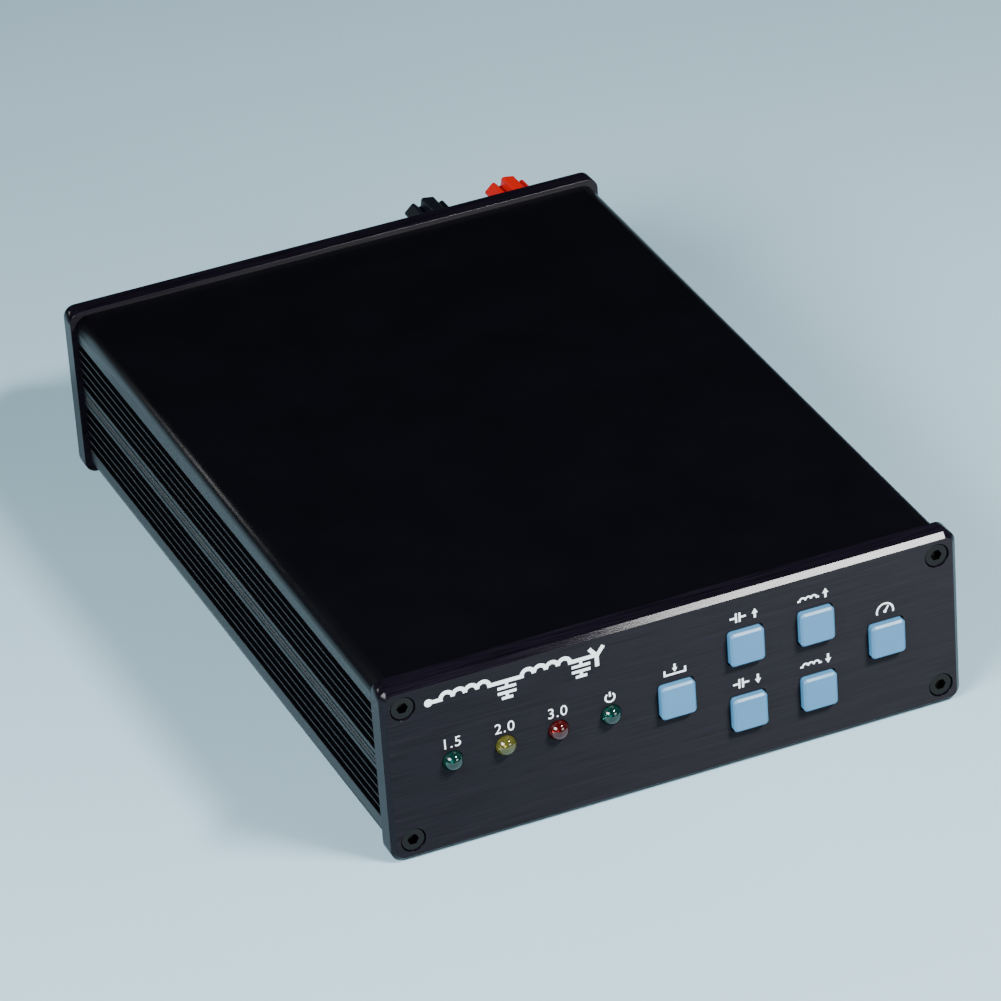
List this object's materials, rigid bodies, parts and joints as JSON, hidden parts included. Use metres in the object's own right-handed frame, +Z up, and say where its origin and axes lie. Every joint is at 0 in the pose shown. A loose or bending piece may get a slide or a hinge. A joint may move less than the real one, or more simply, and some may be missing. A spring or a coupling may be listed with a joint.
{
  "type": "antenna tuner",
  "caption": "Desktop automatic antenna tuner: split extruded aluminium case between thick end plates, square push buttons, signal lamps, coaxial sockets and screw-down terminal posts.",
  "frame": {"origin": "on the resting plane, under the middle of the full length from the tips of the lamp domes to the ends of the terminal knobs", "axes": "+X to the right as seen from the front, +Y from the front plate towards the rear plate, +Z up"},
  "size_m": [0.145, 0.2304, 0.046],
  "materials": {
    "anodised_shell": "black anodised, fine matt grain",
    "anodised_plate": "black anodised over fine brushing along the width",
    "black_screw": "black oxide",
    "button_cap": "satin moulded plastic",
    "plunger": "moulded",
    "switch_case": "moulded",
    "contact_metal": "bright",
    "green_lens": "clear tinted epoxy",
    "yellow_lens": "clear tinted epoxy",
    "red_lens": "clear tinted epoxy",
    "circuit_board": "solder resist",
    "brass": "turned",
    "bright_steel": "zinc plated",
    "ribbon": "flexible vinyl",
    "header_plastic": "moulded",
    "powdered_iron": "painted powdered iron",
    "copper_wire": "enamelled copper",
    "relay_case": "moulded",
    "capacitor_dip": "dipped",
    "chip_plastic": "moulded",
    "capacitor_sleeve": "shrunk sleeve",
    "ferrite": "sintered",
    "nickel_plate": "nickel plated, satin",
    "ptfe": "turned",
    "gold_plate": "plated",
    "red_plastic": "moulded",
    "black_plastic": "moulded",
    "socket_plastic": "moulded"
  },
  "bodies": {
    "case": {"upper_shell": "anodised_shell", "lower_shell": "anodised_shell", "front_plate": "anodised_plate", "rear_plate": "anodised_plate", "front_plate_screws": "black_screw", "rear_plate_screws": "black_screw", "save_switch": "switch_case", "c_up_switch": "switch_case", "c_down_switch": "switch_case", "l_up_switch": "switch_case", "l_down_switch": "switch_case", "tune_switch": "switch_case", "contact_domes": "contact_metal", "swr_1_5_led": "green_lens", "swr_2_0_led": "yellow_lens", "swr_3_0_led": "red_lens", "power_led": "green_lens", "led_leads": "bright_steel", "front_board": "circuit_board", "front_board_standoffs": "brass", "front_board_screws": "bright_steel", "ribbon_cable": "ribbon", "ribbon_headers": "header_plastic", "main_board": "circuit_board", "inductor_cores": "powdered_iron", "inductor_windings": "copper_wire", "relays": "relay_case", "matching_capacitors": "capacitor_dip", "control_chips": "chip_plastic", "filter_capacitors": "capacitor_sleeve", "bridge_transformers": "ferrite", "rf_input_socket": "nickel_plate", "rf_output_socket": "nickel_plate", "socket_insulators": "ptfe", "socket_contacts": "gold_plate", "socket_screws": "bright_steel", "red_post_base": "red_plastic", "black_post_base": "black_plastic", "post_studs": "brass", "post_inner_washers": "black_plastic", "post_nuts": "bright_steel", "dc_socket": "socket_plastic", "control_socket": "socket_plastic", "rf_leads": "copper_wire"},
    "save_key": {"save_button": "button_cap", "save_plunger": "plunger"},
    "c_up_key": {"c_up_button": "button_cap", "c_up_plunger": "plunger"},
    "c_down_key": {"c_down_button": "button_cap", "c_down_plunger": "plunger"},
    "l_up_key": {"l_up_button": "button_cap", "l_up_plunger": "plunger"},
    "l_down_key": {"l_down_button": "button_cap", "l_down_plunger": "plunger"},
    "tune_key": {"tune_button": "button_cap", "tune_plunger": "plunger"},
    "red_clamp": {"red_post_washer": "bright_steel"},
    "red_knob": {"red_post_knob": "red_plastic"},
    "black_clamp": {"black_post_washer": "bright_steel"},
    "black_knob": {"black_post_knob": "black_plastic"}
  },
  "joints": [
    {"name": "save_press", "type": "slide", "parent": "case", "child": "save_key", "axis": [0, 1, 0], "range_m": [0, 0.0005], "stiffness_N_per_m": 3000, "springref_m": -0.0002},
    {"name": "c_up_press", "type": "slide", "parent": "case", "child": "c_up_key", "axis": [0, 1, 0], "range_m": [0, 0.0005], "stiffness_N_per_m": 3000, "springref_m": -0.0002},
    {"name": "c_down_press", "type": "slide", "parent": "case", "child": "c_down_key", "axis": [0, 1, 0], "range_m": [0, 0.0005], "stiffness_N_per_m": 3000, "springref_m": -0.0002},
    {"name": "l_up_press", "type": "slide", "parent": "case", "child": "l_up_key", "axis": [0, 1, 0], "range_m": [0, 0.0005], "stiffness_N_per_m": 3000, "springref_m": -0.0002},
    {"name": "l_down_press", "type": "slide", "parent": "case", "child": "l_down_key", "axis": [0, 1, 0], "range_m": [0, 0.0005], "stiffness_N_per_m": 3000, "springref_m": -0.0002},
    {"name": "tune_press", "type": "slide", "parent": "case", "child": "tune_key", "axis": [0, 1, 0], "range_m": [0, 0.0005], "stiffness_N_per_m": 3000, "springref_m": -0.0002},
    {"name": "red_clamp_slide", "type": "slide", "parent": "case", "child": "red_clamp", "axis": [0, 1, 0], "range_m": [0, 0.004]},
    {"name": "red_knob_turn", "type": "hinge", "parent": "red_clamp", "child": "red_knob", "pos_m": [0.0572, 0.1072, 0.0315], "axis": [0, 1, 0], "range_deg": [0, 1440]},
    {"name": "black_clamp_slide", "type": "slide", "parent": "case", "child": "black_clamp", "axis": [0, 1, 0], "range_m": [0, 0.004]},
    {"name": "black_knob_turn", "type": "hinge", "parent": "black_clamp", "child": "black_knob", "pos_m": [0.0345, 0.1072, 0.0315], "axis": [0, 1, 0], "range_deg": [0, 1440]}
  ],
  "couplings": [
    {"joint": "red_knob_turn", "follows": "red_clamp_slide", "rad_per_m": 6283.2},
    {"joint": "black_knob_turn", "follows": "black_clamp_slide", "rad_per_m": 6283.2}
  ]
}
